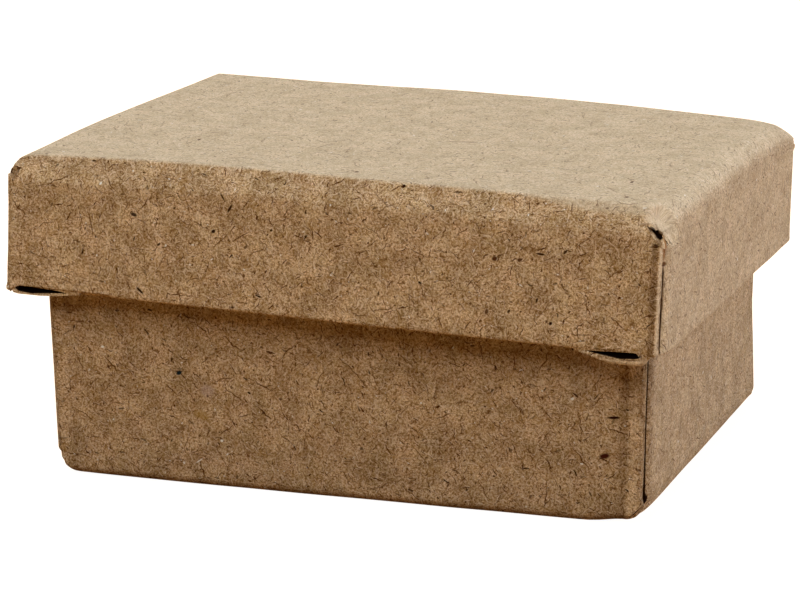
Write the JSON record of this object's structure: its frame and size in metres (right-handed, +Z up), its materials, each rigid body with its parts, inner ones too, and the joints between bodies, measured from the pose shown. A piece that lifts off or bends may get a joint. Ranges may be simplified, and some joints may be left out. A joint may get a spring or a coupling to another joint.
{
  "type": "small two-piece cardboard box with lift-off lid",
  "caption": "Small rectangular kraft cardboard box: a folded tray with a shallow folded lid that lifts off, wrapped corners and open lap seams.",
  "frame": {"origin": "centre of the tray's underside, where the box stands", "axes": "+X along the long walls, +Y towards the back long wall, +Z up, the way the lid lifts"},
  "size_m": [0.0613, 0.0471, 0.03],
  "materials": {
    "kraft_board": "uncoated recycled kraft board with visible fibres"
  },
  "bodies": {
    "tray": {"tray": "kraft_board"},
    "lid": {"lid": "kraft_board"}
  },
  "joints": [
    {"name": "lid_lift", "type": "slide", "parent": "tray", "child": "lid", "axis": [0, 0, 1], "range_m": [0, 0.025]}
  ]
}
